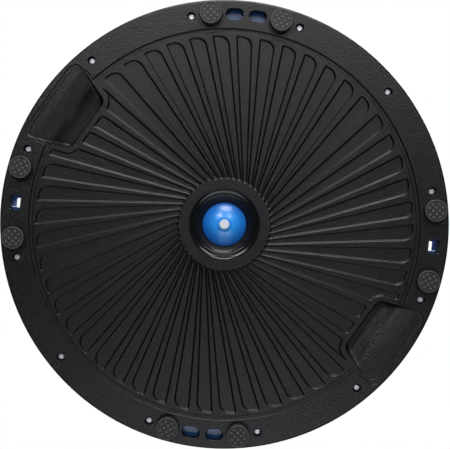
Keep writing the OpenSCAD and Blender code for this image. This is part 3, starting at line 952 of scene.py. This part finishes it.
def floor_material():
    """Pale studio floor, clear from below so that the underside can be seen."""
    n = Nodes("studio_floor")
    cloud = n.noise(3, 3)
    colour = n.mix(n.spread(cloud), grey(0.80), grey(0.83))
    matt = n.add("BsdfDiffuse", {"Color": colour})
    clear = n.add("BsdfTransparent")
    below = n.add("NewGeometry").outputs["Backfacing"]
    return n.surface(n.add("MixShader", {0: below, 1: matt.outputs[0], 2: clear.outputs[0]}).outputs[0])


def paint(obj, material):
    obj.data.materials.clear()
    obj.data.materials.append(material)


def repaint_node(name, material):
    """Gives a CAD node that stays a better material."""
    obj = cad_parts[name]
    for s in obj.material_slots:
        s.material = material
    if not obj.material_slots:
        obj.data.materials.append(material)


# ---------- the object ----------

def place(piece, body, node, material):
    """Puts a visual piece on a body, in place of a CAD node."""
    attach(piece, body)
    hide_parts(node)
    paint(piece, material)


plastic, pvc, ring_blue = black_plastic(), blue_pvc(), blue_plastic()
place(make_platform(), "trainer", "base_platform", plastic)
place(make_ring(), "trainer", "clamp_ring", ring_blue)
dome_piece = make_dome()
place(dome_piece, "trainer", "air_dome", pvc)
rubber, steel, white = foot_rubber(), zinc(), white_plastic()
repaint_node("valve_seat", pvc)
repaint_node("valve_plug", white)
for number in range(1, 9):
    repaint_node(f"foot_{number}", rubber)
for number in range(1, SCREWS + 1):
    repaint_node(f"screw_{number}", steel)


# ---------- stage and light ----------

FLOOR_REACH = 6
AIM = Vector((0, 0, 0.02))


def make_floor():
    bm = bmesh.new()
    for x, y in ((-1, -1), (1, -1), (1, 1), (-1, 1)):
        bm.verts.new((x * FLOOR_REACH, y * FLOOR_REACH, 0))
    bm.faces.new(bm.verts)
    floor = new_object("floor", mesh_from(bm, "floor"))
    paint(floor, floor_material())
    floor.visible_shadow = False
    floor.visible_glossy = False


def area_light(name, direction, distance, size, power, colour=(1, 1, 1), height=None):
    """A soft light that faces the object from a direction, square unless it has a height.

    distance, size and height are in metres and power is in watts.
    """
    data = bpy.data.lights.new(name, "AREA")
    data.shape = "RECTANGLE"
    data.size = size
    data.size_y = height or size
    data.energy = power
    data.color = colour
    light = new_object(name, data)
    way = Vector(direction).normalized()
    light.location = AIM + way * distance
    light.rotation_mode = "QUATERNION"
    light.rotation_quaternion = way.to_track_quat("Z", "Y")
    light.visible_camera = False


def from_below(tilt, turn):
    """Direction towards the camera, tilted by tilt degrees to the image's top, then turned right by turn."""
    up = Vector((math.sin(ROW_TURN), -math.cos(ROW_TURN), 0))
    right = Vector((math.cos(ROW_TURN), math.sin(ROW_TURN), 0))
    a, t = math.radians(turn), math.radians(tilt)
    side = up * math.cos(a) + right * math.sin(a)
    return Vector((0, 0, -1)) * math.cos(t) + side * math.sin(t)


def make_world():
    """White to the eye, and a dim grey for the light it throws."""
    world = bpy.data.worlds.new("studio")
    bpy.context.scene.world = world
    world.use_nodes = True
    tree = world.node_tree
    tree.nodes.clear()
    seen = tree.nodes.new("ShaderNodeBackground")
    seen.inputs[0].default_value = (1, 1, 1, 1)
    lit = tree.nodes.new("ShaderNodeBackground")
    lit.inputs[0].default_value = (0.9, 0.95, 1, 1)
    lit.inputs[1].default_value = 0.05
    path = tree.nodes.new("ShaderNodeLightPath")
    mix = tree.nodes.new("ShaderNodeMixShader")
    out = tree.nodes.new("ShaderNodeOutputWorld")
    tree.links.new(path.outputs["Is Camera Ray"], mix.inputs[0])
    tree.links.new(lit.outputs[0], mix.inputs[1])
    tree.links.new(seen.outputs[0], mix.inputs[2])
    tree.links.new(mix.outputs[0], out.inputs[0])


make_floor()
make_world()
# from below: two keys, a soft one, a cool fill, and two that rake across the relief
area_light("key_left", from_below(37, -27), distance=1.8, size=0.42, power=9)
area_light("key_right", from_below(34, 31), distance=1.8, size=0.42, power=6.5)
area_light("top_soft", from_below(21, 0), distance=1.8, size=0.4, power=1.2)
area_light(
    "fill_low", from_below(31, 177), distance=1.8, size=1.3, power=9.5, colour=(0.88, 0.92, 1), height=0.7)
area_light("rake_top", from_below(67, 5), distance=1.9, size=1.1, power=48)
area_light("rake_low", from_below(72, 180), distance=1.9, size=1.4, power=5)
# from above, for the dome's side
area_light("top_key", (0.6, -0.8, 1.5), distance=2.2, size=1.3, power=60)
area_light("top_fill", (-0.9, 0.5, 1.1), distance=2.4, size=1.6, power=30)
bpy.context.scene.view_settings.view_transform = "Standard"
